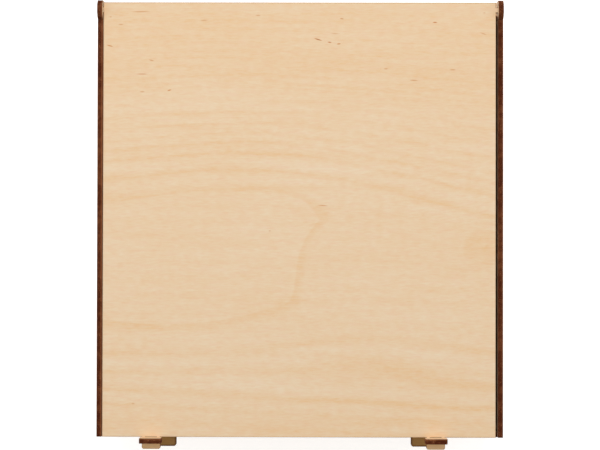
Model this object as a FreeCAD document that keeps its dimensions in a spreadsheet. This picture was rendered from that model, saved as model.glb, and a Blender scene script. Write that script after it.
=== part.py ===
"""Plywood gift box with a lid that swings on two ears of its side walls.

Every piece is cut from one thickness of plywood sheet and drawn flat, as it
lies on the cutting bed, in a sketch of its own.  The sheet's thickness then
gives the pad, and the body's placement stands the piece up in the box.

Frame: millimetres, +Z up, the front of the box towards -Y, the origin at the
middle of the underside of the base panel.
"""
import FreeCAD
import Part
import Sketcher
import os
import re

# Driving sizes: name, value in millimetres (degrees for the angle), meaning
SIZES = [
    ("ply", 3.0, "thickness of the plywood sheet"),
    ("outer_width", 233.0, "box across the outer faces of the side walls"),
    ("outer_length", 250.8, "box from the front face to the back of the side walls"),
    ("wall_height", 80.0, "side walls from the table to their top edge, level with the lid"),
    ("joint_clearance", 0.1, "room on each side of a glued tenon"),
    ("lid_gap_left", 0.25, "slit between the lid and the left wall"),
    ("lid_gap_right", 1.2, "slit between the lid and the right wall"),
    ("lid_clearance", 0.2, "room between the closed lid and the walls under it"),
    ("ear_radius", 5.6, "rounded ear that carries the lid's pivot"),
    ("lid_tail", 4.3, "lid behind its pivot line"),
    ("pivot_width", 3.0, "pivot tenon of the lid, along the box"),
    ("pivot_clearance", 0.08, "room around the corners of a pivot tenon"),
    ("open_angle", 110.0, "turn of the lid until its tail meets the back wall"),
    ("stop_clearance", 0.1, "room between the tail and the back wall at full turn"),
    ("corner_tenon", 14.0, "height of a tenon that joins two walls"),
    ("corner_tenon_low", 14.0, "lower edge of the lower corner tenon above the table"),
    ("corner_tenon_high", 48.0, "lower edge of the upper corner tenon above the table"),
    ("base_tenon", 36.0, "length of a tenon on the base panel"),
    ("base_tenon_inset", 38.0, "base tenon from the end of its edge"),
    ("back_tenon", 30.0, "length of a tenon under the back wall"),
    ("back_tenon_inset", 50.0, "back wall's tenon from the side of the box"),
    ("tab_width", 10.7, "lifting tab on the lid's front edge"),
    ("tab_reach", 6.9, "lifting tab in front of the lid's front edge"),
    ("tab_corner", 1.2, "rounding of a lifting tab's corners"),
    ("left_tab_inset", 31.4, "left tab's middle from the left side of the box"),
    ("right_tab_inset", 38.5, "right tab's middle from the right side of the box"),
    ("grip_width", 12.6, "upright grip plate across"),
    ("grip_rise", 8.0, "upright grip plate above the lid"),
    ("grip_corner", 0.8, "rounding of a grip plate's upper corners"),
    ("grip_tenon", 6.0, "grip plate's tenon across"),
    ("ledge_width", 18.8, "thumb ledge across"),
    ("ledge_reach", 6.7, "thumb ledge in front of the front wall"),
    ("ledge_drop", 14.0, "thumb ledge's upper face below the top of the lid"),
    ("ledge_corner", 1.5, "rounding of a thumb ledge's corners"),
    ("ledge_tenon", 10.0, "thumb ledge's tenon across"),
]

# Places worked out from the driving sizes
PIVOT_Y = "outer_length - ear_radius"
PIVOT_Z = "wall_height - ply / 2"
UNDER_LID = "wall_height - ply - lid_clearance"
PIVOT_HOLE = "sqrt((pivot_width / 2)^2 + (ply / 2)^2) + pivot_clearance"
TAIL_SWING = "-lid_tail * cos(open_angle) + ply / 2 * sin(open_angle)"
BACK_WALL_Y = f"{PIVOT_Y} - ({TAIL_SWING}) - stop_clearance - ply"
CORE_LEFT = "ply + joint_clearance"
OVER_BASE = "ply + joint_clearance"
CORE_RIGHT = "outer_width - ply - joint_clearance"
LEFT_TAB = "left_tab_inset"
RIGHT_TAB = "outer_width - right_tab_inset"
LEFT_LEDGE = f"{LEFT_TAB} - tab_width / 2 + ledge_width / 2"
RIGHT_LEDGE = f"{RIGHT_TAB} + tab_width / 2 - ledge_width / 2"
CORNER_TENONS = ["corner_tenon_low", "corner_tenon_high"]

# How a flat drawing stands in the box: lying, across the box, along the box
LYING = FreeCAD.Rotation()
ACROSS = FreeCAD.Rotation(FreeCAD.Vector(1, 0, 0), 90)
ALONG = FreeCAD.Rotation(FreeCAD.Vector(1, 1, 1), 120)

ORIGIN = -1
START, END, CENTRE = 1, 2, 3

doc = FreeCAD.newDocument("gift_box")
sheet = doc.addObject("Spreadsheet::Sheet", "Sizes")
for row, (alias, value, meaning) in enumerate(SIZES, start=1):
    sheet.set(f"A{row}", alias)
    sheet.set(f"B{row}", str(value))
    sheet.setAlias(f"B{row}", alias)
    sheet.set(f"C{row}", meaning)
doc.recompute()

ALIASES = re.compile(r"\b(" + "|".join(alias for alias, _, _ in SIZES) + r")\b")


def bound(text):
    """Name the sheet in front of each size in an expression."""
    return ALIASES.sub(r"Sizes.\1", text)


def number(text):
    """Value that an expression of the sizes has now."""
    return float(sheet.evalExpression(bound(text)))


def tie(sketch, kind, first, second, text):
    """Hold a coordinate of a point, given from the origin, at an expression."""
    index = sketch.addConstraint(Sketcher.Constraint(kind, ORIGIN, START, first, second, number(text)))
    sketch.setExpression(f"Constraints[{index}]", bound(text))


def tie_radius(sketch, edge, text):
    """Hold the radius of an arc or circle at an expression."""
    index = sketch.addConstraint(Sketcher.Constraint("Radius", edge, number(text)))
    sketch.setExpression(f"Constraints[{index}]", bound(text))


def draw_outline(sketch, corners):
    """Closed outline of level and upright edges, counter-clockwise.

    A corner is a pair of expressions, with a third where it is rounded.
    """
    places = [FreeCAD.Vector(number(corner[0]), number(corner[1]), 0) for corner in corners]
    radii = [number(corner[2]) if len(corner) == 3 else 0.0 for corner in corners]
    edges = []
    for here in range(len(corners)):
        there = (here + 1) % len(corners)
        along = (places[there] - places[here]).normalize()
        first = places[here] + along * radii[here]
        last = places[there] - along * radii[there]
        edge = sketch.addGeometry(Part.LineSegment(first, last), False)
        if corners[here][1] == corners[there][1]:
            sketch.addConstraint(Sketcher.Constraint("Horizontal", edge))
            tie(sketch, "DistanceY", edge, START, corners[here][1])
        else:
            sketch.addConstraint(Sketcher.Constraint("Vertical", edge))
            tie(sketch, "DistanceX", edge, START, corners[here][0])
        edges.append((edge, along))
    for here, corner in enumerate(corners):
        before, inward = edges[here - 1]
        after, outward = edges[here]
        if len(corner) == 2:
            sketch.addConstraint(Sketcher.Constraint("Coincident", before, END, after, START))
            continue
        centre = places[here] + (outward - inward) * radii[here]
        circle = Part.Circle(centre, FreeCAD.Vector(0, 0, 1), radii[here])
        from_angle = circle.parameter(places[here] - inward * radii[here])
        to_angle = circle.parameter(places[here] + outward * radii[here])
        arc = sketch.addGeometry(Part.ArcOfCircle(circle, from_angle, to_angle), False)
        sketch.addConstraint(Sketcher.Constraint("Tangent", before, END, arc, START))
        sketch.addConstraint(Sketcher.Constraint("Tangent", arc, END, after, START))
        tie_radius(sketch, arc, corner[2])


def draw_slot(sketch, middle, across, low, high):
    """Rectangular slot about a middle line, with the joint's room all round."""
    left = f"{middle} - ({across}) / 2 - joint_clearance"
    right = f"{middle} + ({across}) / 2 + joint_clearance"
    bottom = f"{low} - joint_clearance"
    top = f"{high} + joint_clearance"
    draw_outline(sketch, [(left, bottom), (right, bottom), (right, top), (left, top)])


def draw_circle(sketch, x, y, radius):
    """Circle held by its centre and radius."""
    centre = FreeCAD.Vector(number(x), number(y), 0)
    edge = sketch.addGeometry(Part.Circle(centre, FreeCAD.Vector(0, 0, 1), number(radius)), False)
    tie(sketch, "DistanceX", edge, CENTRE, x)
    tie(sketch, "DistanceY", edge, CENTRE, y)
    tie_radius(sketch, edge, radius)


def new_sketch(body, name):
    """Empty sketch on the flat of the sheet."""
    planes = {plane.Role: plane for plane in body.Origin.OriginFeatures}
    sketch = body.newObject("Sketcher::SketchObject", f"{body.Name}_{name}")
    sketch.AttachmentSupport = [(planes["XY_Plane"], "")]
    sketch.MapMode = "FlatFace"
    return sketch


def pad_sheet(body, sketch, name):
    """Give a drawing the thickness of the sheet."""
    pad = body.newObject("PartDesign::Pad", f"{body.Name}_{name}")
    pad.Profile = sketch
    pad.setExpression("Length", bound("ply"))
    return pad


def new_piece(name, stance, x, y, z):
    """Body of one cut piece, with the place of its drawing's origin in the box."""
    body = doc.addObject("PartDesign::Body", name)
    body.Label = name
    body.Placement = FreeCAD.Placement(FreeCAD.Vector(), stance)
    for axis, text in zip("xyz", (x, y, z)):
        body.setExpression(f"Placement.Base.{axis}", bound(text))
    return body


def upright_tenons(side, tip, low_to_high):
    """Corners of the two wall tenons, or of the notches for them, on one edge.

    The edge runs up or down at side, and each tenon reaches to tip.
    """
    corners = []
    starts = CORNER_TENONS if low_to_high else CORNER_TENONS[::-1]
    for start in starts:
        ends = [start, f"{start} + corner_tenon"]
        first, last = ends if low_to_high else ends[::-1]
        corners += [(side, first), (tip, first), (tip, last), (side, last)]
    return corners


def notched_run(edge, depth, starts, length, room):
    """Corners of notches along a level edge, from left to right."""
    corners = []
    for start in starts:
        left = f"{start} - {room}"
        right = f"{start} + {length} + {room}"
        corners += [(left, edge), (left, depth), (right, depth), (right, edge)]
    return corners


def base_starts(run):
    """Where the two base tenons begin on an edge of a given run."""
    return ["base_tenon_inset", f"{run} - base_tenon_inset - base_tenon"]


def back_starts():
    """Where the two tenons under the back wall begin."""
    return ["back_tenon_inset", "outer_width - back_tenon_inset - back_tenon"]


def make_base_panel():
    """Floor of the box, with tenons into three walls and slots for the fourth."""
    body = new_piece("base_panel", LYING, "-outer_width / 2", "-outer_length / 2", "0")
    sketch = new_sketch(body, "outline")
    corners = [(CORE_LEFT, CORE_LEFT)]
    for start in base_starts("outer_width"):
        end = f"{start} + base_tenon"
        corners += [(start, CORE_LEFT), (start, "0"), (end, "0"), (end, CORE_LEFT)]
    corners.append((CORE_RIGHT, CORE_LEFT))
    for start in base_starts("outer_length"):
        end = f"{start} + base_tenon"
        corners += [(CORE_RIGHT, start), ("outer_width", start), ("outer_width", end), (CORE_RIGHT, end)]
    corners += [(CORE_RIGHT, "outer_length"), (CORE_LEFT, "outer_length")]
    for start in reversed(base_starts("outer_length")):
        end = f"{start} + base_tenon"
        corners += [(CORE_LEFT, end), ("0", end), ("0", start), (CORE_LEFT, start)]
    draw_outline(sketch, corners)
    for start in back_starts():
        draw_slot(sketch, f"{start} + back_tenon / 2", "back_tenon", BACK_WALL_Y, f"{BACK_WALL_Y} + ply")
    pad_sheet(body, sketch, "sheet")
    return body


def make_front_wall():
    """Front wall between the sides, notched over the base, slotted for the ledges."""
    body = new_piece("front_wall", ACROSS, "-outer_width / 2", "ply - outer_length / 2", "0")
    sketch = new_sketch(body, "outline")
    corners = [(CORE_LEFT, "0")]
    corners += notched_run("0", OVER_BASE, base_starts("outer_width"), "base_tenon", "joint_clearance")
    corners.append((CORE_RIGHT, "0"))
    corners += upright_tenons(CORE_RIGHT, "outer_width", True)
    corners += [(CORE_RIGHT, UNDER_LID), (CORE_LEFT, UNDER_LID)]
    corners += upright_tenons(CORE_LEFT, "0", False)
    draw_outline(sketch, corners)
    for middle in (LEFT_LEDGE, RIGHT_LEDGE):
        top = "wall_height - ledge_drop"
        draw_slot(sketch, middle, "ledge_tenon", f"{top} - ply", top)
    pad_sheet(body, sketch, "sheet")
    return body


def make_back_wall():
    """Back wall, set in from the ends of the sides so that the lid's tail can swing."""
    y = f"{BACK_WALL_Y} + ply - outer_length / 2"
    body = new_piece("back_wall", ACROSS, "-outer_width / 2", y, "0")
    sketch = new_sketch(body, "outline")
    corners = [(CORE_LEFT, OVER_BASE)]
    corners += notched_run(OVER_BASE, "0", back_starts(), "back_tenon", "0")
    corners.append((CORE_RIGHT, OVER_BASE))
    corners += upright_tenons(CORE_RIGHT, "outer_width", True)
    corners += [(CORE_RIGHT, UNDER_LID), (CORE_LEFT, UNDER_LID)]
    corners += upright_tenons(CORE_LEFT, "0", False)
    draw_outline(sketch, corners)
    pad_sheet(body, sketch, "sheet")
    return body


def make_side_wall(name, x):
    """Side wall with finger joints in front, slots for the back wall, and its ear."""
    body = new_piece(name, ALONG, x, "-outer_length / 2", "0")
    sketch = new_sketch(body, "outline")
    corners = [("0", "0")]
    corners += notched_run("0", OVER_BASE, base_starts("outer_length"), "base_tenon", "joint_clearance")
    corners += [("outer_length", "0"), ("outer_length", PIVOT_Z), (PIVOT_Y, PIVOT_Z)]
    corners += [(PIVOT_Y, "wall_height"), ("0", "wall_height")]
    for start in reversed(CORNER_TENONS):
        low = f"{start} - joint_clearance"
        high = f"{start} + corner_tenon + joint_clearance"
        corners += [("0", high), (CORE_LEFT, high), (CORE_LEFT, low), ("0", low)]
    draw_outline(sketch, corners)
    for start in CORNER_TENONS:
        draw_slot(sketch, f"{BACK_WALL_Y} + ply / 2", "ply", start, f"{start} + corner_tenon")
    pad_sheet(body, sketch, "sheet")

    ear = new_sketch(body, "ear_outline")
    draw_circle(ear, PIVOT_Y, PIVOT_Z, "ear_radius")
    pad_sheet(body, ear, "ear")
    doc.recompute()
    whole = body.Shape.Volume

    bore = new_sketch(body, "pivot_outline")
    draw_circle(bore, PIVOT_Y, PIVOT_Z, PIVOT_HOLE)
    hole = body.newObject("PartDesign::Pocket", f"{name}_pivot_hole")
    hole.Profile = bore
    hole.Midplane = True
    hole.setExpression("Length", bound("4 * ply"))
    doc.recompute()
    if body.Shape.Volume >= whole:
        raise RuntimeError(f"the pivot hole cuts nothing from {name}")
    return body


def make_lid_panel():
    """Lid with pivot tenons at the back and two slotted lifting tabs in front."""
    y = "-outer_length / 2 - tab_reach"
    body = new_piece("lid_panel", LYING, "-outer_width / 2", y, "wall_height - ply")
    sketch = new_sketch(body, "outline")
    left = "ply + lid_gap_left"
    right = "outer_width - ply - lid_gap_right"
    front = "tab_reach"
    pivot = f"tab_reach + {PIVOT_Y}"
    pivot_front = f"{pivot} - pivot_width / 2"
    pivot_back = f"{pivot} + pivot_width / 2"
    back = f"{pivot} + lid_tail"
    corners = [(left, front)]
    for middle in (LEFT_TAB, RIGHT_TAB):
        near = f"{middle} - tab_width / 2"
        far = f"{middle} + tab_width / 2"
        corners += [(near, front), (near, "0", "tab_corner"), (far, "0", "tab_corner"), (far, front)]
    corners.append((right, front))
    corners += [(right, pivot_front), ("outer_width", pivot_front)]
    corners += [("outer_width", pivot_back), (right, pivot_back)]
    corners += [(right, back), (left, back)]
    corners += [(left, pivot_back), ("0", pivot_back), ("0", pivot_front), (left, pivot_front)]
    draw_outline(sketch, corners)
    for middle in (LEFT_TAB, RIGHT_TAB):
        slot_back = f"{front} - joint_clearance"
        draw_slot(sketch, middle, "grip_tenon", f"{slot_back} - ply", slot_back)
    pad_sheet(body, sketch, "sheet")
    return body


def make_grip_plate(name, middle):
    """Upright plate that stands on a lifting tab, for a finger to push."""
    x = f"{middle} - outer_width / 2 - grip_width / 2"
    body = new_piece(name, ACROSS, x, "-outer_length / 2 - joint_clearance", "wall_height - ply")
    sketch = new_sketch(body, "outline")
    near = "grip_width / 2 - grip_tenon / 2"
    far = "grip_width / 2 + grip_tenon / 2"
    top = "ply + grip_rise"
    corners = [(near, "0"), (far, "0"), (far, "ply"), ("grip_width", "ply")]
    corners += [("grip_width", top, "grip_corner"), ("0", top, "grip_corner"), ("0", "ply"), (near, "ply")]
    draw_outline(sketch, corners)
    pad_sheet(body, sketch, "sheet")
    return body


def make_thumb_ledge(name, middle):
    """Small shelf on the front wall beside a lifting tab, for the thumb to press on."""
    x = f"{middle} - outer_width / 2 - ledge_width / 2"
    y = "-outer_length / 2 - ledge_reach"
    body = new_piece(name, LYING, x, y, "wall_height - ledge_drop - ply")
    sketch = new_sketch(body, "outline")
    near = "ledge_width / 2 - ledge_tenon / 2"
    far = "ledge_width / 2 + ledge_tenon / 2"
    tip = "ledge_reach + ply"
    corners = [("0", "0", "ledge_corner"), ("ledge_width", "0", "ledge_corner")]
    corners += [("ledge_width", "ledge_reach"), (far, "ledge_reach"), (far, tip)]
    corners += [(near, tip), (near, "ledge_reach"), ("0", "ledge_reach")]
    draw_outline(sketch, corners)
    pad_sheet(body, sketch, "sheet")
    return body


def check_and_write(pieces):
    """Stop at any failed object, then write each piece to its own file."""
    doc.recompute()
    for item in doc.Objects:
        if "Invalid" in item.State or "Error" in item.State:
            raise RuntimeError(f"{item.Name} is {item.State}")
        if item.isDerivedFrom("Sketcher::SketchObject") and not item.FullyConstrained:
            raise RuntimeError(f"{item.Name} isn't fully held")
    for piece in pieces:
        if piece.Shape.isNull() or not piece.Shape.isValid() or len(piece.Shape.Solids) != 1:
            raise RuntimeError(f"{piece.Label} isn't one sound solid")
    os.makedirs("parts", exist_ok=True)
    for piece in pieces:
        piece.Shape.exportStep(f"parts/{piece.Label}.step")
        print(f"{piece.Label}: {piece.Shape.Volume:.1f} mm3")


check_and_write([
    make_base_panel(),
    make_front_wall(),
    make_back_wall(),
    make_side_wall("left_wall", "-outer_width / 2"),
    make_side_wall("right_wall", "outer_width / 2 - ply"),
    make_lid_panel(),
    make_grip_plate("left_grip", LEFT_TAB),
    make_grip_plate("right_grip", RIGHT_TAB),
    make_thumb_ledge("left_ledge", LEFT_LEDGE),
    make_thumb_ledge("right_ledge", RIGHT_LEDGE),
])
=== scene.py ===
"""Looks of a plywood gift box: pale birch faces and dark, laser-burnt cut edges."""
import math
import bpy
import numpy as np
from mathutils import Euler, Matrix, Vector


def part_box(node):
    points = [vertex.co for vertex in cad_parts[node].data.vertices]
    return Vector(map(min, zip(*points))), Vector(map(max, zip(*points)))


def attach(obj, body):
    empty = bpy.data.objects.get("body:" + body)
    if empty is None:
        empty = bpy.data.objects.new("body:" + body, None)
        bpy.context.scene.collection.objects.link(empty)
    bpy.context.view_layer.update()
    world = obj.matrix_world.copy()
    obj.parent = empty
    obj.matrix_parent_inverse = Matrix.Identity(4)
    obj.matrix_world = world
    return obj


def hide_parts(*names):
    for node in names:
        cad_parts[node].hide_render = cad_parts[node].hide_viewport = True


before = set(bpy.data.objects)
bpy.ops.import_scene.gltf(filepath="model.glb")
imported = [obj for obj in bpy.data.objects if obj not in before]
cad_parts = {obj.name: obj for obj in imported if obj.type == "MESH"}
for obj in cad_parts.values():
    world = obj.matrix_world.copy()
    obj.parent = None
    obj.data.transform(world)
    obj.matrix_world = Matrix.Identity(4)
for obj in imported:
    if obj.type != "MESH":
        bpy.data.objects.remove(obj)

bl_info = {
    "name": "Plywood Gift Box",
    "version": (1, 0, 0),
    "blender": (4, 5, 0),
    "location": "3D View > Sidebar > Gift Box",
    "description": "Cut sheets, birch veneer and burnt edges of a gift box with a swinging lid",
    "category": "Object",
}

AXES = {"x": np.array((1.0, 0.0, 0.0)), "y": np.array((0.0, 1.0, 0.0)), "z": np.array((0.0, 0.0, 1.0))}
# For each axis that a sheet may face: how its own directions, along the grain, across it and through the
# sheet, lie in the box
GRAIN = {
    "z": Matrix.Identity(3),
    "y": Matrix(((1, 0, 0), (0, 0, 1), (0, -1, 0))),
    "x": Matrix(((0, 1, 0), (0, 0, 1), (1, 0, 0))),
}
FACE_SLOT = 0
EDGE_SLOT = 1
MICRON = 1e-6
MM_IN_METRE = 1000
# Kinds of node group socket, and the numbers of the Mix node's sockets for colours
NUMBER = "NodeSocketFloat"
VECTOR = "NodeSocketVector"
MIX_SHARE = 0
MIX_FIRST = 6
MIX_SECOND = 7
MIX_RESULT = 2

# Each noise: its count per metre along the grain and across it, then its detail
NOISES = {
    "streak": (14.0, 260.0, 4.0),
    "fibre": (230.0, 1100.0, 3.0),
    "mottle": (150.0, 260.0, 2.0),
    "cloud": (10.0, 26.0, 3.0),
    "pore": (210.0, 3000.0, 2.0),
    "blush": (140.0, 560.0, 2.0),
    "broad_wander": (7.0, 17.0, 1.5),
    "small_wander": (26.0, 70.0, 2.0),
    "lid_wander": (24.0, 60.0, 3.0),
    "lid_cloud": (10.0, 30.0, 3.0),
    "burn_patch": (45.0, 45.0, 3.0),
    "burn_blot": (260.0, 260.0, 2.0),
    "burn_grit": (900.0, 900.0, 3.0),
    "burn_speck": (1700.0, 1700.0, 1.0),
}
NOISE_MIDDLE = 0.5

# Tone of the grain: 0 is pale wood and 1 is dark wood
TONE_START = -0.58
TONE_SHARES = {"streak": 0.40, "fibre": 0.65, "mottle": 0.35, "cloud": 0.25}
PORE_LEVELS = (0.58, 0.72)
PORE_TONE = 0.12
PORE_HEIGHT = -0.6
BLUSH_LEVELS = (0.42, 0.70)
# How much red, green and blue of the pale wood is left in its faintly pink patches
BLUSH_TINT = (1.0, 0.95, 0.95)

# Flecks by chance: cells per metre, size in cells and depth as a least value and what chance adds, and the
# levels of chance from which a cell has a fleck
FLECK_CELLS = (30.0, 135.0, 135.0)
FLECK_SIZE = (0.02, 0.07)
FLECK_DEPTH = (0.35, 0.9)
FLECK_CHANCE = (0.86, 0.88)
# A fleck's tint for its depth, and the depths at which its dark core begins and is full
FLECK_TINT = 1.5
FLECK_CORE = (0.75, 1.15)

# Growth rings of every sheet but the lid: rings per square metre of distance from their middle line, and
# per metre along it
RING_CURVE = 946.0
RING_SLOPE = 11.76
# How many rings the whole range of each noise moves them
RING_WANDER = {"broad_wander": 1.6, "small_wander": 0.6}
# How wide a ring line fades on its soft and on its sharp side
RING_SOFT = 0.0024
RING_SHARP = 0.0008
# Levels of the cloud noise between which the ring lines come out
RING_BREAKS = (0.30, 0.66)
WALL_RING_TONE = 0.30

# The lid's figure: arches fan out from a line behind the hinge, with one spread where they run level, and
# droop to the right and to the left
FAN_LINE = 0.1254
LEVEL_SPREAD = 0.9662
RIGHT_DROOP = {"start": 0.0057, "softness": 0.0402, "steepness": 2.9}
LEFT_DROOP = {"start": 0.0488, "softness": 0.0230, "steepness": 1.335}
# Ring lines on the arches, in millimetres from the fan's line: place, half width; then the depth of tone,
# below zero for a paler band
LID_ARCHES = (
    (8.0, 2.2, 0.45), (11.5, 2.2, 0.45), (16.1, 2.4, 0.45), (20.7, 1.8, 0.50), (25.0, 1.5, 0.35),
    (29.0, 1.6, 0.35), (33.0, 1.8, 0.35), (37.6, 1.7, 0.55), (43.1, 1.8, 0.60), (46.8, 1.5, 0.60),
    (50.0, 1.5, 0.35), (57.7, 1.8, 0.50), (64.3, 1.8, 0.60), (70.9, 1.8, 0.75), (77.3, 1.8, 0.80),
    (82.4, 1.8, 1.00), (87.9, 1.7, 0.90), (92.0, 3.5, -0.35), (97.1, 2.4, 1.00), (102.5, 3.5, -0.20),
)
# The closed tongue: its arch, its right side, its foot, and the rounding where the side meets the arch and
# where the foot meets both
TONGUE_ARCH = 0.1094
TONGUE_SIDE = {"start": -0.0009, "fade": 0.0115, "reach": 0.0178, "rest": -0.0029}
TONGUE_FOOT = {"middle": -0.0804, "half": 0.0729, "rise": 0.01206, "lowest": -0.0612}
TONGUE_SIDE_ROUNDING = 0.04
TONGUE_FOOT_ROUNDING = 0.012
# How far the tongue's line fades outwards and inwards
TONGUE_OUTSIDE = 0.0055
TONGUE_INSIDE = 0.0014
# Slack ring lines in front, in millimetres from the lid's middle: place, half width; then the depth of tone
LID_FRONT = (
    (-77.9, 3.8, 1.00), (-83.7, 3.2, -0.60), (-89.4, 2.6, 1.00), (-95.0, 2.6, -0.45), (-100.3, 3.0, 1.20),
    (-109.5, 2.6, 0.80), (-118.1, 3.2, 0.60),
)
# The hump of these lines, the places between which it turns into a slope, and that slope
FRONT_HUMP = {"middle": 0.0373, "half": 0.0574, "height": 0.0092}
FRONT_TURN = (-0.0756, -0.1014)
FRONT_SLOPE = {"steepness": 0.05, "lift": 0.0029}
# A darker oval at the right edge, a darker band at the back, painted shade towards the front edge and painted
# shadow of the grip plates on the lifting tabs: where each begins and is full; then its depth of tone
DIM_PLACE = {"along": 0.1074, "across": -0.0170}
DIM_HALF = {"along": 0.0138, "across": 0.0103}
DIM_SHADE = (1.25, 0.8, 0.8)
BACK_SHADE = (0.062, 0.035, 0.5)
FRONT_PAINTED_SHADE = (-0.100, -0.125, 0.6)
TAB_PAINTED_SHADOW = (-0.127, -0.1295, 1.9)
# How far the lid's lines wander, and their strength by noise: its levels, the least and what is added
LID_WANDER = 0.004
LID_BREAKS = {"levels": (0.32, 0.62), "least": 0.65, "more": 0.5}
LID_RING_TONE = 0.185

# Flecks on the lid, in millimetres from its middle: across, towards the back, half length; then slant, depth
LID_FLECKS = (
    (-91.5, 118.7, 7.0, 0.00, 0.45), (-109.1, 115.7, 1.0, 0.00, 0.35), (-103.2, 111.3, 2.0, 0.00, 0.45),
    (-109.4, 99.0, 2.4, -0.27, 0.70), (-85.5, 90.7, 2.0, -0.20, 0.50), (-90.8, 82.8, 4.2, 0.00, 0.45),
    (-90.8, 72.6, 2.0, 0.00, 0.40), (-75.2, 73.5, 1.6, 0.30, 0.65), (-55.4, 113.7, 3.0, 0.06, 0.35),
    (-24.3, 116.6, 2.0, -0.05, 0.40), (23.8, 114.8, 1.5, -0.10, 0.55), (20.0, 106.2, 3.4, -0.05, 0.30),
    (10.2, 102.8, 3.0, -0.29, 0.95), (16.8, 101.2, 1.5, -0.10, 0.85), (22.1, 100.3, 1.5, 0.10, 0.75),
    (77.3, 112.7, 1.7, 0.00, 0.85), (105.2, 106.2, 2.4, -0.33, 0.40), (105.6, 118.2, 1.0, 0.00, 0.30),
    (49.2, 86.0, 1.6, 0.00, 0.45), (87.5, 85.5, 2.4, 0.00, 0.45), (65.2, 79.4, 3.2, -0.05, 0.50),
    (13.2, 7.4, 3.8, -0.05, 0.45), (-17.3, -7.2, 0.9, 0.00, 0.35), (-95.5, -106.4, 1.3, 0.00, 0.35),
)
# Half thickness of these flecks, and where they begin and are full, as shares of the way from middle to rim
FLECK_HALF_THICKNESS = 0.0005
FLECK_FADE = (1.0, 0.2)

# Burn of a cut edge: 0 is darkest and 1 is brown.  Each shade: its noise, the levels where it begins and is
# full, and its share
BURN_START = -0.22
BURN_SHADES = (
    ("burn_patch", 0.35, 0.75, 0.25),
    ("burn_blot", 0.35, 0.75, 0.30),
    ("burn_speck", 0.57, 0.72, 0.75),
)
GRIT_SHARE = 0.25
# The two glue lines through a sheet, as shares of its thickness, and how soft the plies meet there
PLY_LINES = (0.34, 0.67)
PLY_BLEND = 0.05
GLUE_FADE = (0.05, 0.015)
GLUE_TONE = -0.12
GLUE_HEIGHT = -0.8
# How pale the ply at one face is in an edge: partly the ply's own paler burn, partly painted light and shade
PLAIN_STRIPE = 0.15
GRIP_STRIPE_AND_PAINTED_LIGHT = 0.42

# Roughness as its value at tone or brown 0 and what 1 adds; then the bump's strength and the gloss
VENEER_ROUGHNESS = (0.52, 0.15)
VENEER_BUMP = 0.25
VENEER_GLOSS = 0.2
EDGE_ROUGHNESS = (0.85, -0.2)
EDGE_BUMP = 0.5
EDGE_GLOSS = 0.06
BUMP_DISTANCE = 0.00008
SMOKE_SHARE = 0.35
# On the ledges the dark rim by the cuts is smoke and painted shade
LEDGE_SMOKE_AND_SHADE_SHARE = 0.8

WHITE = (1.0, 1.0, 1.0, 1.0)
# How far the floor lies below the box, and how much it glows where it is seen
FLOOR_GAP = 0.0002
FLOOR_GLOW = 0.6
FLOOR_ROUGHNESS = 0.9
# How strongly the world lights the box; where it is seen, it is full white
WORLD_LIGHT = 0.38
# Width of the camera's sensor in millimetres
SENSOR_WIDTH = 36.0


class GiftBoxSizes(bpy.types.PropertyGroup):
    """Small sizes of the finish, and the places of the camera and lamps."""
    arris: bpy.props.FloatProperty(
        name="Arris", description="Softening of each cut edge", default=0.00012, unit="LENGTH")
    smoke_width: bpy.props.FloatProperty(
        name="Smoke Width", description="Brown line of smoke beside a cut", default=0.0007, unit="LENGTH")
    # The ledges' wider rim is smoke and painted shade beside the grips and under the lid
    ledge_smoke_and_shade_width: bpy.props.FloatProperty(
        name="Ledge Smoke Width", description="Smoke beside the cuts of the thumb ledges", default=0.0014,
        unit="LENGTH")
    camera_distance: bpy.props.FloatProperty(
        name="Camera Distance", description="Camera to the point of the lid it looks at", default=1.05,
        unit="LENGTH")
    camera_aim: bpy.props.FloatVectorProperty(
        name="Camera Aim", description="Point of the lid in the middle of the picture, from the box's middle",
        default=(0.00003, -0.00379), size=2, unit="LENGTH")
    camera_turn: bpy.props.FloatVectorProperty(
        name="Camera Turn", description="Turn of a camera that looks straight down",
        default=(math.radians(0.76), math.radians(0.43), math.radians(0.12)), size=3, unit="ROTATION")
    camera_lens: bpy.props.FloatProperty(
        name="Lens", description="Focal length in millimetres", default=109.81)
    back_lamp: bpy.props.FloatVectorProperty(
        name="Back Lamp", description="Place of the main soft lamp", default=(-0.1, 1.0, 1.55), size=3,
        unit="LENGTH")
    back_lamp_power: bpy.props.FloatProperty(
        name="Back Lamp Power", description="Power of the main soft lamp", default=16.8, unit="POWER")
    side_lamp: bpy.props.FloatVectorProperty(
        name="Side Lamp", description="Place of the right soft lamp; the left one mirrors it",
        default=(1.2, 0.1, 0.75), size=3, unit="LENGTH")
    side_lamp_power: bpy.props.FloatProperty(
        name="Side Lamp Power", description="Power of each side lamp", default=4.0, unit="POWER")
    lamp_width: bpy.props.FloatProperty(
        name="Lamp Width", description="Side of each soft lamp", default=1.1, unit="LENGTH")
    floor_width: bpy.props.FloatProperty(
        name="Floor Width", description="Side of the floor", default=12.0, unit="LENGTH")


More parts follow.
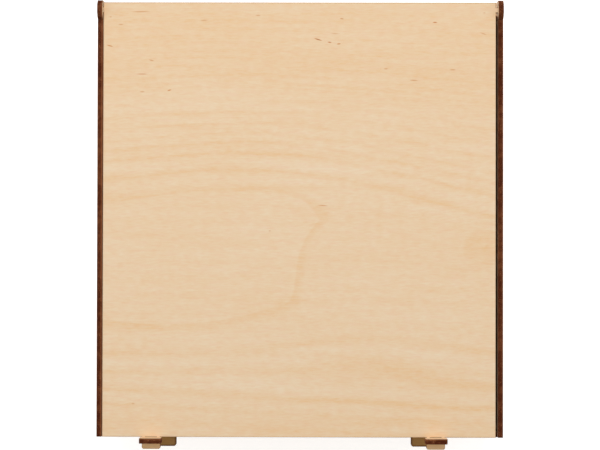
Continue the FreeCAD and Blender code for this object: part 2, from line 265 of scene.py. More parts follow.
class GiftBoxColours(bpy.types.PropertyGroup):
    """Colours of the veneer, the burnt edges, the thumb ledges' painted shade and the floor."""
    veneer_light: bpy.props.FloatVectorProperty(
        name="Veneer Light", description="Pale wood between the grain lines", subtype="COLOR",
        default=(0.850, 0.678, 0.480), min=0.0, max=1.0)
    veneer_dark: bpy.props.FloatVectorProperty(
        name="Veneer Dark", description="Warmer wood in the grain lines", subtype="COLOR",
        default=(0.795, 0.478, 0.205), min=0.0, max=1.0)
    fleck: bpy.props.FloatVectorProperty(
        name="Fleck", description="Small red-brown flecks of the birch", subtype="COLOR",
        default=(0.64, 0.27, 0.10), min=0.0, max=1.0)
    fleck_core: bpy.props.FloatVectorProperty(
        name="Fleck Core", description="Middle of the few deep flecks", subtype="COLOR",
        default=(0.20, 0.07, 0.03), min=0.0, max=1.0)
    char_dark: bpy.props.FloatVectorProperty(
        name="Char Dark", description="Darkest burn of a cut edge", subtype="COLOR",
        default=(0.064, 0.0125, 0.0035), min=0.0, max=1.0)
    char_light: bpy.props.FloatVectorProperty(
        name="Char Light", description="Brown burn of a cut edge", subtype="COLOR",
        default=(0.27, 0.095, 0.036), min=0.0, max=1.0)
    smoke: bpy.props.FloatVectorProperty(
        name="Smoke", description="Tint of smoke on the veneer", subtype="COLOR",
        default=(0.42, 0.22, 0.09), min=0.0, max=1.0)
    # Ledge colours: birch veneer darkened and browned as painted shade under the lid
    ledge_painted_shade_light: bpy.props.FloatVectorProperty(
        name="Ledge Light", description="Smoked veneer between the grain lines", subtype="COLOR",
        default=(0.49, 0.28, 0.095), min=0.0, max=1.0)
    ledge_painted_shade_dark: bpy.props.FloatVectorProperty(
        name="Ledge Dark", description="Smoked veneer in the grain lines", subtype="COLOR",
        default=(0.34, 0.178, 0.048), min=0.0, max=1.0)
    floor: bpy.props.FloatVectorProperty(
        name="Floor", description="Plain floor", subtype="COLOR", default=(0.82, 0.82, 0.82),
        min=0.0, max=1.0)


def new_group(name, inputs, outputs):
    """Empty shader node group with named inputs and named outputs of numbers, and its two end nodes."""
    group = bpy.data.node_groups.new(name, "ShaderNodeTree")
    for label, kind in inputs.items():
        group.interface.new_socket(label, in_out="INPUT", socket_type=kind)
    for label in outputs:
        group.interface.new_socket(label, in_out="OUTPUT", socket_type=NUMBER)
    return group, group.nodes.new("NodeGroupInput"), group.nodes.new("NodeGroupOutput")


def place(tree, kind, sockets=None, **settings):
    """New node with its settings, and its inputs linked or set by name or number."""
    node = tree.nodes.new(kind)
    for label, value in settings.items():
        setattr(node, label, value)
    for label, value in (sockets or {}).items():
        if isinstance(value, bpy.types.NodeSocket):
            tree.links.new(value, node.inputs[label])
        else:
            node.inputs[label].default_value = value
    return node


def place_group(tree, name, sockets):
    """Node of a named node group, with its inputs linked or set by name."""
    return place(tree, "ShaderNodeGroup", sockets, node_tree=bpy.data.node_groups[name])


def named_noise(tree, vector, name):
    """One of the noises above, stretched along the grain."""
    along, across, detail = NOISES[name]
    mapping = place(tree, "ShaderNodeMapping", {"Vector": vector, "Scale": (along, across, across)})
    noise = place(tree, "ShaderNodeTexNoise", {
        "Vector": mapping.outputs["Vector"], "Scale": 1.0, "Detail": detail})
    return noise.outputs["Fac"]


def calculate(tree, operation, first, second=0.0, third=0.0, clamp=False):
    """One step of arithmetic on one, two or three values or sockets."""
    sockets = {0: first, 1: second, 2: third}
    node = place(tree, "ShaderNodeMath", sockets, operation=operation, use_clamp=clamp)
    return node.outputs["Value"]


def ramp(tree, value, low, high):
    """Smooth step of a value: 0 at low and 1 at high, also where low is the greater."""
    node = place(tree, "ShaderNodeMapRange", {"Value": value, "From Min": low, "From Max": high},
                 interpolation_type="SMOOTHSTEP")
    return node.outputs["Result"]


def add_shade(tree, so_far, value, low, high, depth):
    """A smooth step of a value, times a depth, added to the shades so far."""
    return calculate(tree, "MULTIPLY_ADD", ramp(tree, value, low, high), depth, third=so_far)


def by_share(tree, share, at_none, more):
    """A value where a share is 0, and what is added to it as the share goes to 1."""
    return calculate(tree, "MULTIPLY_ADD", share, more, third=at_none)


def half_widths(tree, value, middle, half):
    """How far a value is from a middle, in half widths."""
    return calculate(tree, "DIVIDE", calculate(tree, "SUBTRACT", value, middle), half)


def squares(tree, first, second):
    """Sum of the squares of two values."""
    return calculate(tree, "MULTIPLY_ADD", first, first, third=calculate(tree, "MULTIPLY", second, second))


def mix_colour(tree, share, first, second):
    """Two colours mixed by a share; each colour is a socket or linear red, green and blue."""
    node = place(tree, "ShaderNodeMix", {MIX_SHARE: share}, data_type="RGBA")
    for index, value in ((MIX_FIRST, first), (MIX_SECOND, second)):
        if isinstance(value, bpy.types.NodeSocket):
            tree.links.new(value, node.inputs[index])
        else:
            node.inputs[index].default_value = (*value, 1.0)
    return node.outputs[MIX_RESULT]


def chance_flecks(tree, vector):
    """Sparse flecks: rare cells have one, of chance size and depth, that fades from its middle to its rim."""
    cells = place(tree, "ShaderNodeMapping", {"Vector": vector, "Scale": FLECK_CELLS})
    spots = place(tree, "ShaderNodeTexVoronoi", {"Vector": cells.outputs["Vector"], "Scale": 1.0},
                  voronoi_dimensions="2D")
    chance = place(tree, "ShaderNodeSeparateColor", {"Color": spots.outputs["Color"]})
    size = by_share(tree, chance.outputs["Green"], *FLECK_SIZE)
    away = calculate(tree, "DIVIDE", spots.outputs["Distance"], size)
    near = calculate(tree, "SUBTRACT", 1.0, away, clamp=True)
    rare = ramp(tree, chance.outputs["Red"], *FLECK_CHANCE)
    deep = by_share(tree, chance.outputs["Blue"], *FLECK_DEPTH)
    return calculate(tree, "MULTIPLY", calculate(tree, "MULTIPLY", near, rare), deep, clamp=True)


def make_grain_group():
    """Birch grain without rings: streaks, fibres, mottle, pores, patches of blush and sparse flecks.

    Streaks, fibres, pores and blush are noise stretched along the grain,
    mottle and clouds are rounder noise, and flecks are rare cells.
    """
    group, start, end = new_group(
        "birch_grain", {"Vector": VECTOR}, ("Tone", "Blush", "Fleck", "Height"))
    vector = start.outputs["Vector"]
    noises = {name: named_noise(group, vector, name) for name in TONE_SHARES}
    tone = TONE_START
    for name, share in TONE_SHARES.items():
        tone = calculate(group, "MULTIPLY_ADD", noises[name], share, third=tone)
    pores = ramp(group, named_noise(group, vector, "pore"), *PORE_LEVELS)
    tone = calculate(group, "MULTIPLY_ADD", pores, PORE_TONE, third=tone)
    group.links.new(tone, end.inputs["Tone"])
    blush = ramp(group, named_noise(group, vector, "blush"), *BLUSH_LEVELS)
    group.links.new(blush, end.inputs["Blush"])
    group.links.new(chance_flecks(group, vector), end.inputs["Fleck"])
    height = calculate(group, "MULTIPLY_ADD", pores, PORE_HEIGHT, third=noises["fibre"])
    group.links.new(height, end.inputs["Height"])


def make_wall_ring_group():
    """Ring lines of every sheet but the lid: nested tongues.

    A ring number is worked out at each point: the square of the distance
    across the grain from a middle line, plus a slope along the grain, so
    equal numbers lie on nested tongues, and noise makes them wander.
    Each whole number is a ring line.  What is left to the next whole number,
    divided by the ring number's own slope, is the distance to the line, so
    all lines are equally thin, soft on one side and sharp on the other.
    """
    group, start, end = new_group("wall_rings", {"Vector": VECTOR}, ("Line",))
    vector = start.outputs["Vector"]
    apart = place(group, "ShaderNodeSeparateXYZ", {"Vector": vector})
    across = apart.outputs["Y"]
    ring = calculate(group, "MULTIPLY", across, calculate(group, "MULTIPLY", across, RING_CURVE))
    ring = calculate(group, "MULTIPLY_ADD", apart.outputs["X"], RING_SLOPE, third=ring)
    for name, rings in RING_WANDER.items():
        sway = calculate(group, "SUBTRACT", named_noise(group, vector, name), NOISE_MIDDLE)
        ring = calculate(group, "MULTIPLY_ADD", sway, rings, third=ring)
    steep = calculate(group, "MULTIPLY", across, 2.0 * RING_CURVE)
    slope = calculate(group, "SQRT", calculate(group, "MULTIPLY_ADD", steep, steep, third=RING_SLOPE ** 2))
    past = calculate(group, "FRACT", ring)
    left = calculate(group, "SUBTRACT", 1.0, past)
    soft = ramp(group, calculate(group, "DIVIDE", left, slope), RING_SOFT, 0.0)
    sharp = ramp(group, calculate(group, "DIVIDE", past, slope), RING_SHARP, 0.0)
    line = calculate(group, "MAXIMUM", soft, sharp)
    line = calculate(group, "MULTIPLY", line, ramp(group, named_noise(group, vector, "cloud"), *RING_BREAKS))
    group.links.new(calculate(group, "MULTIPLY", line, WALL_RING_TONE), end.inputs["Line"])


def add_droop(tree, spread, beyond, droop):
    """More spread on one side: zero before its start and straight far beyond it, with a soft bend between."""
    square = calculate(tree, "MULTIPLY_ADD", beyond, beyond, third=droop["softness"] ** 2)
    root = calculate(tree, "SQRT", square)
    bend = calculate(tree, "MULTIPLY", calculate(tree, "ADD", beyond, root), 0.5)
    return calculate(tree, "MULTIPLY_ADD", bend, droop["steepness"], third=spread)


def ring_lines(tree, lines, level, rings):
    """Soft lines where a level reaches each ring's place, added to the lines so far."""
    for spot, width, depth in rings:
        away = calculate(tree, "ABSOLUTE", calculate(tree, "SUBTRACT", level, spot / MM_IN_METRE))
        lines = add_shade(tree, lines, away, width / MM_IN_METRE, 0.0, depth)
    return lines


def lid_tongue(tree, along, across, arch):
    """Signed distance to the closed tongue: the greatest of three, rounded where they meet.

    They are how far a point lies behind the tongue's arch, right of its side
    and in front of its foot.  The side is rest + reach * exp(-depth / fade),
    with the depth in front of its start, and the foot is a parabola.
    """
    behind = calculate(tree, "SUBTRACT", TONGUE_ARCH, arch)
    depth = calculate(tree, "MAXIMUM", calculate(tree, "SUBTRACT", TONGUE_SIDE["start"], across), 0.0)
    fade = calculate(tree, "EXPONENT", calculate(tree, "DIVIDE", depth, -TONGUE_SIDE["fade"]))
    side = calculate(tree, "MULTIPLY_ADD", fade, TONGUE_SIDE["reach"], third=TONGUE_SIDE["rest"])
    beside = calculate(tree, "SUBTRACT", along, side)
    share = half_widths(tree, along, TONGUE_FOOT["middle"], TONGUE_FOOT["half"])
    rise = calculate(tree, "MULTIPLY", share, share)
    foot = calculate(tree, "MULTIPLY_ADD", rise, TONGUE_FOOT["rise"], third=TONGUE_FOOT["lowest"])
    before = calculate(tree, "SUBTRACT", foot, across)
    tongue = calculate(tree, "SMOOTH_MAX", behind, beside, third=TONGUE_SIDE_ROUNDING)
    return calculate(tree, "SMOOTH_MAX", tongue, before, third=TONGUE_FOOT_ROUNDING)


def lid_front_level(tree, along, across):
    """Level of the slack lines: a bell-shaped hump that turns into a slope towards the front edge."""
    aside = half_widths(tree, along, FRONT_HUMP["middle"], FRONT_HUMP["half"])
    fall = calculate(tree, "MULTIPLY", calculate(tree, "MULTIPLY", aside, aside), -1.0)
    hump = calculate(tree, "MULTIPLY", calculate(tree, "EXPONENT", fall), FRONT_HUMP["height"])
    slope = calculate(tree, "MULTIPLY_ADD", along, FRONT_SLOPE["steepness"], third=FRONT_SLOPE["lift"])
    turned = ramp(tree, across, *FRONT_TURN)
    bump = calculate(tree, "MULTIPLY", calculate(tree, "SUBTRACT", 1.0, turned), hump)
    level = calculate(tree, "SUBTRACT", across, bump)
    return calculate(tree, "MULTIPLY_ADD", turned, slope, third=level)


def make_lid_ring_group():
    """The lid's figure: arches at the back, one closed tongue in the middle and slack lines in front.

    An arch is a line of equal u = (fan - across) / spread, and the spread
    grows softly to the right and to the left.  Rings are soft lines on u, on
    the outline of the tongue and on the front level.  Noise makes all lines
    wander and breaks up those on the arches and in front.  A darker oval at
    the right edge and a darker band at the back are added, with painted shade
    towards the front edge and painted shadow of the grip plates on the tabs.
    """
    group, start, end = new_group("lid_rings_and_painted_shade", {"Vector": VECTOR}, ("Line",))
    vector = start.outputs["Vector"]
    apart = place(group, "ShaderNodeSeparateXYZ", {"Vector": vector})
    along = apart.outputs["X"]
    wander = calculate(group, "MULTIPLY_ADD", named_noise(group, vector, "lid_wander"), LID_WANDER,
                       third=-LID_WANDER * NOISE_MIDDLE)
    across = calculate(group, "ADD", apart.outputs["Y"], wander)

    right = calculate(group, "SUBTRACT", along, RIGHT_DROOP["start"])
    left = calculate(group, "SUBTRACT", -LEFT_DROOP["start"], along)
    spread = add_droop(group, LEVEL_SPREAD, right, RIGHT_DROOP)
    spread = add_droop(group, spread, left, LEFT_DROOP)
    arch = calculate(group, "DIVIDE", calculate(group, "SUBTRACT", FAN_LINE, across), spread)
    lines = ring_lines(group, 0.0, arch, LID_ARCHES)
    lines = ring_lines(group, lines, lid_front_level(group, along, across), LID_FRONT)
    cloud = named_noise(group, vector, "lid_cloud")
    unbroken = add_shade(group, LID_BREAKS["least"], cloud, *LID_BREAKS["levels"], LID_BREAKS["more"])
    lines = calculate(group, "MULTIPLY", lines, unbroken)

    tongue = lid_tongue(group, along, across, arch)
    outside = ramp(group, tongue, TONGUE_OUTSIDE, 0.0)
    inside = ramp(group, tongue, -TONGUE_INSIDE, 0.0)
    lines = calculate(group, "MULTIPLY_ADD", outside, inside, third=lines)

    oval = squares(group, half_widths(group, along, DIM_PLACE["along"], DIM_HALF["along"]),
                   half_widths(group, across, DIM_PLACE["across"], DIM_HALF["across"]))
    # The front shade is painted shade and the tab shade is painted shadow of the grip plates
    for value, shade in ((oval, DIM_SHADE), (arch, BACK_SHADE), (across, FRONT_PAINTED_SHADE), (across, TAB_PAINTED_SHADOW)):
        lines = add_shade(group, lines, value, *shade)
    group.links.new(calculate(group, "MULTIPLY", lines, LID_RING_TONE), end.inputs["Line"])


def make_fleck_group():
    """One fleck: a thin slanted oval about its place, which fades to its rim."""
    group, start, end = new_group(
        "birch_fleck",
        {"Vector": VECTOR, "Place": VECTOR, "Reach": NUMBER, "Slant": NUMBER, "Depth": NUMBER},
        ("Fleck",))
    offset = place(group, "ShaderNodeVectorMath", {0: start.outputs["Vector"], 1: start.outputs["Place"]},
                   operation="SUBTRACT")
    apart = place(group, "ShaderNodeSeparateXYZ", {"Vector": offset.outputs["Vector"]})
    lean = calculate(group, "MULTIPLY", apart.outputs["X"], start.outputs["Slant"])
    aside = half_widths(group, apart.outputs["Y"], lean, FLECK_HALF_THICKNESS)
    along = calculate(group, "DIVIDE", apart.outputs["X"], start.outputs["Reach"])
    inside = ramp(group, calculate(group, "SQRT", squares(group, aside, along)), *FLECK_FADE)
    group.links.new(calculate(group, "MULTIPLY", inside, start.outputs["Depth"]), end.inputs["Fleck"])


def make_char_group():
    """Burnt cut edge: dark plies, a paler ply at one face (partly painted light), glue lines, patches, blots,
    grit and specks.

    The depth through the sheet picks the ply, and noise of four sizes along
    the edge changes how far each ply is burnt.
    """
    group, start, end = new_group(
        "burnt_edge", {"Vector": VECTOR, "Depth": NUMBER, "Stripe": NUMBER}, ("Brown", "Height"))
    vector = start.outputs["Vector"]
    depth = start.outputs["Depth"]
    face_ply = ramp(group, depth, PLY_LINES[1] - PLY_BLEND, PLY_LINES[1] + PLY_BLEND)
    brown = calculate(group, "MULTIPLY_ADD", face_ply, start.outputs["Stripe"], third=BURN_START)
    for name, low, high, share in BURN_SHADES:
        brown = add_shade(group, brown, named_noise(group, vector, name), low, high, share)
    grit = named_noise(group, vector, "burn_grit")
    brown = calculate(group, "MULTIPLY_ADD", grit, GRIT_SHARE, third=brown)
    glue = 0.0
    for spot in PLY_LINES:
        away = calculate(group, "ABSOLUTE", calculate(group, "SUBTRACT", depth, spot))
        glue = calculate(group, "ADD", ramp(group, away, *GLUE_FADE), glue)
    brown = calculate(group, "MULTIPLY_ADD", glue, GLUE_TONE, third=brown, clamp=True)
    group.links.new(brown, end.inputs["Brown"])
    height = calculate(group, "MULTIPLY_ADD", glue, GLUE_HEIGHT, third=grit)
    group.links.new(height, end.inputs["Height"])


def finish_material(material, colour, rough, height, strength, gloss):
    """Principled shader with a varying colour, roughness and fine bump, and one level of gloss."""
    tree = material.node_tree
    shader = tree.nodes["Principled BSDF"]
    bump = place(tree, "ShaderNodeBump", {"Height": height, "Strength": strength, "Distance": BUMP_DISTANCE})
    tree.links.new(colour, shader.inputs["Base Color"])
    tree.links.new(rough, shader.inputs["Roughness"])
    tree.links.new(bump.outputs["Normal"], shader.inputs["Normal"])
    shader.inputs["Specular IOR Level"].default_value = gloss
    return material


def placed_flecks(tree, vector, flecks):
    """Flecks at given places, the deepest of them at each point."""
    deepest = 0.0
    for across, back, reach, slant, depth in flecks:
        spot = place_group(tree, "birch_fleck", {
            "Vector": vector, "Place": (across / MM_IN_METRE, back / MM_IN_METRE, 0.0),
            "Reach": reach / MM_IN_METRE, "Slant": slant, "Depth": depth})
        deepest = calculate(tree, "MAXIMUM", spot.outputs["Fleck"], deepest)
    return deepest


def veneer_material(name, axis, shift, light, dark, smoke_and_shade_colour, smoke_and_shade_share, rings="wall_rings", flecks=()):
    """Birch face: grain and rings turned and shifted for their piece, with flecks and smoke by the cuts; on
    the ledges that rim is also painted shade.

    Where no flecks are given, the grain's own sparse ones are used.
    """
    colours = bpy.context.scene.gift_box_colours
    material = bpy.data.materials.new(name)
    material.use_nodes = True
    tree = material.node_tree
    where = place(tree, "ShaderNodeTexCoord")
    turned = place(tree, "ShaderNodeMapping", {
        "Vector": where.outputs["Object"], "Rotation": GRAIN[axis].to_euler(), "Location": shift})
    grain = place_group(tree, "birch_grain", {"Vector": turned.outputs["Vector"]})
    figure = place_group(tree, rings, {"Vector": turned.outputs["Vector"]})
    tone = calculate(tree, "ADD", grain.outputs["Tone"], figure.outputs["Line"], clamp=True)
    pink = [value * share for value, share in zip(light, BLUSH_TINT)]
    wood = mix_colour(tree, grain.outputs["Blush"], light, pink)
    wood = mix_colour(tree, tone, wood, dark)
    spots = placed_flecks(tree, where.outputs["Object"], flecks) if flecks else grain.outputs["Fleck"]
    tint = calculate(tree, "MULTIPLY", spots, FLECK_TINT, clamp=True)
    wood = mix_colour(tree, tint, wood, colours.fleck)
    wood = mix_colour(tree, ramp(tree, spots, *FLECK_CORE), wood, colours.fleck_core)
    smoke = place(tree, "ShaderNodeAttribute", attribute_name="smoke")
    # Smoke by the cuts; on the ledges this rim is also painted shade
    smoke_and_shade_mask = calculate(tree, "MULTIPLY", smoke.outputs["Fac"], smoke_and_shade_share)
    wood = mix_colour(tree, smoke_and_shade_mask, wood, smoke_and_shade_colour)
    rough = by_share(tree, tone, *VENEER_ROUGHNESS)
    return finish_material(material, wood, rough, grain.outputs["Height"], VENEER_BUMP, VENEER_GLOSS)


def edge_material(name, stripe):
    """Burnt edge: the depth through the sheet comes from the piece's own attribute."""
    colours = bpy.context.scene.gift_box_colours
    material = bpy.data.materials.new(name)
    material.use_nodes = True
    tree = material.node_tree
    where = place(tree, "ShaderNodeTexCoord")
    depth = place(tree, "ShaderNodeAttribute", attribute_name="ply_depth")
    char = place_group(tree, "burnt_edge", {
        "Vector": where.outputs["Object"], "Depth": depth.outputs["Fac"], "Stripe": stripe})
    colour = mix_colour(tree, char.outputs["Brown"], colours.char_dark, colours.char_light)
    rough = by_share(tree, char.outputs["Brown"], *EDGE_ROUGHNESS)
    return finish_material(material, colour, rough, char.outputs["Height"], EDGE_BUMP, EDGE_GLOSS)


def cut_outline(node, axis):
    """Corners, outline edges and triangles of the face of a node that looks along an axis, and its thickness.

    An outline edge is a triangle's edge that no other triangle of the face
    runs along the other way, so the wood lies to its left.
    """
    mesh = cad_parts[node].data
    mesh.calc_loop_triangles()
    places = np.empty(len(mesh.vertices) * 3)
    mesh.vertices.foreach_get("co", places)
    corners = np.empty(len(mesh.loop_triangles) * 3, dtype=np.int32)
    mesh.loop_triangles.foreach_get("vertices", corners)
    rounded = np.round(places.reshape(-1, 3) / MICRON).astype(np.int64)
    points, same = np.unique(rounded, axis=0, return_inverse=True)
    points = points * MICRON
    triangles = same.reshape(-1)[corners].reshape(-1, 3)
    level = points @ axis
    triangles = triangles[np.all(level[triangles] > level.max() - MICRON, axis=1)]
    edges = np.concatenate([triangles[:, (0, 1)], triangles[:, (1, 2)], triangles[:, (2, 0)]])
    count = len(points)
    twin = np.isin(edges[:, 0] * count + edges[:, 1], edges[:, 1] * count + edges[:, 0])
    used, triangles = np.unique(triangles, return_inverse=True)
    renumbered = np.searchsorted(used, edges[~twin])
    return points[used], renumbered, triangles.reshape(-1, 3), np.ptp(level)


def cut_sheet(node, body, axis, face, edge, smoke_width):
    """Sheet of plywood cut to a node's outline, with softened arrises.

    A profile is carried along the outline: it starts on the face a smoke's
    width inside the cut, goes out to the arris, down the cut and back in
    under the sheet.  At each corner the step inwards is the sum of the two
    edges' inward normals divided by one plus their dot product.
    """
    outward = AXES[axis]
    points, edges, triangles, thickness = cut_outline(node, outward)
    along = points[edges[:, 1]] - points[edges[:, 0]]
    along /= np.linalg.norm(along, axis=1, keepdims=True)
    inward = np.cross(outward, along)
    after = np.zeros_like(points)
    before = np.zeros_like(points)
    after[edges[:, 0]] = inward
    before[edges[:, 1]] = inward
    step = (after + before) / (1.0 + np.sum(after * before, axis=1, keepdims=True))

    arris = bpy.context.scene.gift_box_sizes.arris
    steps_in = np.array((smoke_width, arris, 0.0, 0.0, arris, smoke_width))
    drops = np.array((0.0, 0.0, arris, thickness - arris, thickness, thickness))
    # Share of the smoke rim at each ring; on the ledges this rim is also painted shade
    smokes = np.array((0.0, 1.0, 1.0, 1.0, 1.0, 0.0))
    rings = points + steps_in[:, None, None] * step - drops[:, None, None] * outward
    count = len(points)
    bands = np.arange(len(steps_in) - 1)[:, None] * count
    first = edges[:, 0]
    second = edges[:, 1]
    quads = np.stack([bands + count + first, bands + count + second, bands + second, bands + first], axis=-1)
    bottom = triangles[:, ::-1] + (len(steps_in) - 1) * count
    faces = quads.reshape(-1, 4).tolist() + triangles.tolist() + bottom.tolist()
    band_slots = np.array((FACE_SLOT, EDGE_SLOT, EDGE_SLOT, EDGE_SLOT, FACE_SLOT))
    slots = np.concatenate([np.repeat(band_slots, len(edges)), np.full(2 * len(triangles), FACE_SLOT)])

    name = f"{node}_sheet"
    mesh = bpy.data.meshes.new(name)
    mesh.from_pydata(rings.reshape(-1, 3).tolist(), [], faces)
    mesh.polygons.foreach_set("material_index", slots.astype(np.int32))
    for label, values in (("ply_depth", 1.0 - drops / thickness), ("smoke", smokes)):
        attribute = mesh.attributes.new(label, "FLOAT", "POINT")
        attribute.data.foreach_set("value", np.repeat(values, count).astype(np.float32))
    mesh.materials.append(face)
    mesh.materials.append(edge)
    mesh.validate()
    mesh.update()
    piece = bpy.data.objects.new(name, mesh)
    bpy.context.scene.collection.objects.link(piece)
    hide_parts(node)
    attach(piece, body)


class GIFTBOX_OT_finishes(bpy.types.Operator):
    """Make the node groups of grain, rings, flecks and burnt edges, and the shared edge finish"""
    bl_idname = "giftbox.finishes"
    bl_label = "Wood Finishes"

    def execute(self, context):
        make_grain_group()
        make_wall_ring_group()
        make_lid_ring_group()
        make_fleck_group()
        make_char_group()
        edge_material("burnt_cut", PLAIN_STRIPE)
        return {"FINISHED"}


class GIFTBOX_OT_walls(bpy.types.Operator):
    """Cut the base panel and the four walls"""
    bl_idname = "giftbox.walls"
    bl_label = "Base and Walls"

    def execute(self, context):
        colours = context.scene.gift_box_colours
        width = context.scene.gift_box_sizes.smoke_width
        # Each sheet: the axis it faces, the shift of its grain and how pale one ply of its edge is (partly
        # painted light)
        walls = {
            "base_panel": ("z", (0.11, 0.09, 0.4), PLAIN_STRIPE),
            "front_wall": ("y", (-0.07, -0.10, 0.2), PLAIN_STRIPE),
            "back_wall": ("y", (0.05, 0.03, 0.6), PLAIN_STRIPE),
            "left_wall": ("x", (0.09, -0.13, 0.1), 0.4),
            "right_wall": ("x", (-0.04, 0.05, 0.3), 0.2),
        }
        for node, (axis, shift, stripe) in walls.items():
            edge = edge_material(f"{node}_edge", stripe)
            face = veneer_material(f"{node}_veneer", axis, shift, colours.veneer_light, colours.veneer_dark,
                                   colours.smoke, SMOKE_SHARE)
            cut_sheet(node, "box", axis, face, edge, width)
        return {"FINISHED"}


class GIFTBOX_OT_lid(bpy.types.Operator):
    """Cut the lid with its pivots and lifting tabs"""
    bl_idname = "giftbox.lid"
    bl_label = "Lid"

    def execute(self, context):
        colours = context.scene.gift_box_colours
        width = context.scene.gift_box_sizes.smoke_width
        shift = (0.0, 0.0, 0.0)
        # The lid's figure group also paints shade towards the front edge and the grips' shadow on the tabs
        face = veneer_material("lid_panel_veneer", "z", shift, colours.veneer_light,
                               colours.veneer_dark, colours.smoke, SMOKE_SHARE, "lid_rings_and_painted_shade", LID_FLECKS)
        edge = bpy.data.materials["burnt_cut"]
        cut_sheet("lid_panel", "lid", "z", face, edge, width)
        return {"FINISHED"}


class GIFTBOX_OT_grips(bpy.types.Operator):
    """Cut the two upright grip plates"""
    bl_idname = "giftbox.grips"
    bl_label = "Grip Plates"

    def execute(self, context):
        colours = context.scene.gift_box_colours
        width = context.scene.gift_box_sizes.smoke_width
        shift = (0.02, -0.04, 0.5)
        face = veneer_material("grip_veneer", "y", shift, colours.veneer_light, colours.veneer_dark,
                               colours.smoke, SMOKE_SHARE)
        # The grips' paler rear ply is partly painted light from the lamp behind the box
        edge = edge_material("grip_edge", GRIP_STRIPE_AND_PAINTED_LIGHT)
        for node in ("left_grip", "right_grip"):
            cut_sheet(node, "lid", "y", face, edge, width)
        return {"FINISHED"}


class GIFTBOX_OT_ledges(bpy.types.Operator):
    """Cut the two thumb ledges, their veneer darkened as painted shade"""
    bl_idname = "giftbox.ledges"
    bl_label = "Thumb Ledges"

    def execute(self, context):
        colours = context.scene.gift_box_colours
        width = context.scene.gift_box_sizes.ledge_smoke_and_shade_width
        shift = (0.06, 0.1, 0.8)
        # The ledges' veneer is painted shade, with a wide dark rim of smoke and painted shade by the cuts
        face = veneer_material("ledge_painted_shade_veneer", "z", shift, colours.ledge_painted_shade_light, colours.ledge_painted_shade_dark,
                               colours.char_dark, LEDGE_SMOKE_AND_SHADE_SHARE)
        edge = bpy.data.materials["burnt_cut"]
        for node in ("left_ledge", "right_ledge"):
            cut_sheet(node, "box", "z", face, edge, width)
        return {"FINISHED"}


def seen_rays(tree):
    """One for rays from the camera, and for mirrored or passed-on rays, which show the white room too."""
    path = place(tree, "ShaderNodeLightPath")
    seen = calculate(tree, "MAXIMUM", path.outputs["Is Camera Ray"], path.outputs["Is Glossy Ray"])
    return calculate(tree, "MAXIMUM", seen, path.outputs["Is Transmission Ray"])


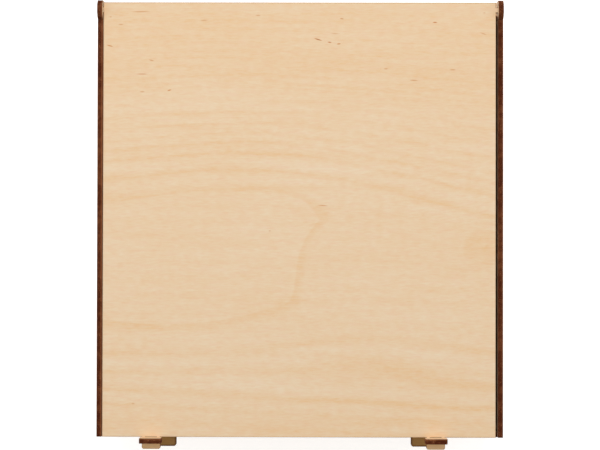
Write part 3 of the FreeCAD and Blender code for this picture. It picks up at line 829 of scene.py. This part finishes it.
class GIFTBOX_OT_stage(bpy.types.Operator):
    """Set the floor, the three soft lamps, the white world and the camera over the lid"""
    bl_idname = "giftbox.stage"
    bl_label = "Stage"

    def execute(self, context):
        scene = context.scene
        scene.view_settings.view_transform = "Standard"
        lid_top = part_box("lid_panel")[1].z
        self.lay_floor(scene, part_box("base_panel")[0].z - FLOOR_GAP)
        self.hang_lamps(scene, Vector((0.0, 0.0, lid_top)))
        self.white_world(scene)
        self.set_camera(scene, lid_top)
        return {"FINISHED"}

    def lay_floor(self, scene, level):
        """Pale floor that the camera sees close to white, with a faint shadow."""
        half = scene.gift_box_sizes.floor_width / 2
        corners = np.array(((-half, -half), (half, -half), (half, half), (-half, half)))
        mesh = bpy.data.meshes.new("floor")
        mesh.from_pydata(np.column_stack([corners, np.full(4, level)]).tolist(), [], [(0, 1, 2, 3)])
        floor = bpy.data.objects.new("floor", mesh)
        scene.collection.objects.link(floor)

        material = bpy.data.materials.new("pale_floor")
        material.use_nodes = True
        tree = material.node_tree
        shader = tree.nodes["Principled BSDF"]
        shader.inputs["Base Color"].default_value = (*scene.gift_box_colours.floor, 1.0)
        shader.inputs["Roughness"].default_value = FLOOR_ROUGHNESS
        shader.inputs["Emission Color"].default_value = WHITE
        glow = calculate(tree, "MULTIPLY", seen_rays(tree), FLOOR_GLOW)
        tree.links.new(glow, shader.inputs["Emission Strength"])
        mesh.materials.append(material)

    def hang_lamps(self, scene, target):
        """Main soft lamp behind the box and one at each side, all turned to the lid."""
        sizes = scene.gift_box_sizes
        right = Vector(sizes.side_lamp)
        mirror = Vector((-1.0, 1.0, 1.0))
        left = right * mirror
        lamps = (
            ("back_lamp", Vector(sizes.back_lamp), sizes.back_lamp_power),
            ("left_lamp", left, sizes.side_lamp_power),
            ("right_lamp", right, sizes.side_lamp_power),
        )
        for name, spot, power in lamps:
            light = bpy.data.lights.new(name, "AREA")
            light.size = sizes.lamp_width
            light.energy = power
            lamp = bpy.data.objects.new(name, light)
            lamp.location = spot
            lamp.rotation_euler = (target - spot).to_track_quat("-Z", "Y").to_euler()
            scene.collection.objects.link(lamp)

    def white_world(self, scene):
        """World that lights evenly and shows white behind the floor."""
        world = bpy.data.worlds.new("white_room")
        world.use_nodes = True
        tree = world.node_tree
        back = tree.nodes["Background"]
        back.inputs["Color"].default_value = WHITE
        strength = by_share(tree, seen_rays(tree), WORLD_LIGHT, 1.0 - WORLD_LIGHT)
        tree.links.new(strength, back.inputs["Strength"])
        scene.world = world

    def set_camera(self, scene, level):
        """Camera that looks down on the lid."""
        sizes = scene.gift_box_sizes
        camera = bpy.data.objects.new("camera", bpy.data.cameras.new("camera"))
        camera.data.sensor_width = SENSOR_WIDTH
        camera.data.lens = sizes.camera_lens
        turn = Euler(sizes.camera_turn)
        aim = Vector((*sizes.camera_aim, level))
        camera.location = aim + turn.to_matrix() @ Vector((0.0, 0.0, sizes.camera_distance))
        camera.rotation_euler = turn
        scene.collection.objects.link(camera)
        scene.camera = camera


class GIFTBOX_PT_panel(bpy.types.Panel):
    """Steps and settings of the gift box"""
    bl_label = "Gift Box"
    bl_idname = "GIFTBOX_PT_panel"
    bl_space_type = "VIEW_3D"
    bl_region_type = "UI"
    bl_category = "Gift Box"

    def draw(self, context):
        layout = self.layout
        for operator in OPERATORS:
            layout.operator(operator.bl_idname)
        for group in (context.scene.gift_box_sizes, context.scene.gift_box_colours):
            column = layout.column()
            for label in group.__annotations__:
                column.prop(group, label)


OPERATORS = (
    GIFTBOX_OT_finishes,
    GIFTBOX_OT_walls,
    GIFTBOX_OT_lid,
    GIFTBOX_OT_grips,
    GIFTBOX_OT_ledges,
    GIFTBOX_OT_stage,
)
CLASSES = (GiftBoxSizes, GiftBoxColours, *OPERATORS, GIFTBOX_PT_panel)


def register():
    """Register the classes and hang the settings on the scene."""
    for item in CLASSES:
        bpy.utils.register_class(item)
    bpy.types.Scene.gift_box_sizes = bpy.props.PointerProperty(type=GiftBoxSizes)
    bpy.types.Scene.gift_box_colours = bpy.props.PointerProperty(type=GiftBoxColours)


def unregister():
    """Take the settings and the classes away again."""
    del bpy.types.Scene.gift_box_colours
    del bpy.types.Scene.gift_box_sizes
    for item in reversed(CLASSES):
        bpy.utils.unregister_class(item)


def main():
    """Make every piece in order."""
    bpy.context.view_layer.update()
    register()
    bpy.ops.giftbox.finishes()
    bpy.ops.giftbox.walls()
    bpy.ops.giftbox.lid()
    bpy.ops.giftbox.grips()
    bpy.ops.giftbox.ledges()
    bpy.ops.giftbox.stage()


if __name__ == "__main__":
    main()
